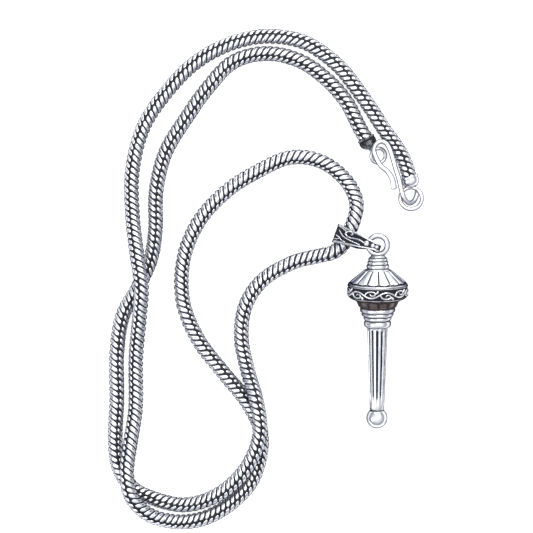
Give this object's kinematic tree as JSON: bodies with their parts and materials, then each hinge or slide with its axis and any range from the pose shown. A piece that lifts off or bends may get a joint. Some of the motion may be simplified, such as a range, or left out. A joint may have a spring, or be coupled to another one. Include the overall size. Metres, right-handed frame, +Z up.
{
  "type": "mace pendant necklace",
  "caption": "Oxidised silver snake-chain necklace with an S-hook clasp and a turned, fluted mace pendant hung on a folded, decorated strap bail.",
  "frame": {"origin": "on the plane the necklace lies on, under the middle of the box round every piece except the chain", "axes": "+Z up from the plane, +Y along the mace from its ball to its ring, +X away from the chain's loops"},
  "size_m": [0.0789, 0.1247, 0.0151],
  "materials": {
    "oxidised_silver": "oxidised silver links, bright where rubbed",
    "bright_silver": "polished silver",
    "worn_silver": "worn silver, dark in the grooves",
    "blackened_silver": "blackened silver"
  },
  "bodies": {
    "chain": {"snake_chain": "oxidised_silver", "left_end_cap": "blackened_silver", "right_end_cap": "bright_silver", "closed_ring": "bright_silver"},
    "jump_ring": {"jump_ring": "bright_silver"},
    "clasp": {"s_hook": "bright_silver"},
    "bail": {"bail_strap": "worn_silver", "bail_rim_upper": "bright_silver", "bail_rim_lower": "bright_silver", "bail_scroll": "bright_silver", "bail_leaf_sprig": "bright_silver", "bail_bead_large": "bright_silver", "bail_bead_middle": "bright_silver", "bail_bead_small": "bright_silver"},
    "pendant": {"mace_ring": "bright_silver", "mace_neck": "worn_silver", "mace_dome": "worn_silver", "mace_band": "worn_silver", "mace_bowl": "blackened_silver", "mace_collar_upper": "worn_silver", "mace_collar_middle": "worn_silver", "mace_collar_lower": "worn_silver", "mace_knop": "bright_silver", "mace_shaft": "worn_silver", "mace_ball": "bright_silver", "mace_core_pin": "worn_silver"}
  },
  "joints": [
    {"name": "jump_ring_turn", "type": "hinge", "parent": "chain", "child": "jump_ring", "pos_m": [-0.0013, 0.03231, 0.0016], "axis": [0, 0, 1], "range_deg": [-12, 15]},
    {"name": "hook_swing", "type": "hinge", "parent": "chain", "child": "clasp", "pos_m": [0.00596, 0.02206, 0.00225], "axis": [0.527, 0.8499, 0], "range_deg": [0, 45]},
    {"name": "bail_swing", "type": "hinge", "parent": "chain", "child": "bail", "pos_m": [-0.00798, 0.01104, 0.003], "axis": [-0.3338, -0.9426, 0], "range_deg": [0, 90]},
    {"name": "pendant_turn", "type": "hinge", "parent": "bail", "child": "pendant", "pos_m": [-0.00028, 0.00894, 0.00936], "axis": [0, -0.1547, 0.988], "range_deg": [-15, 75]}
  ]
}
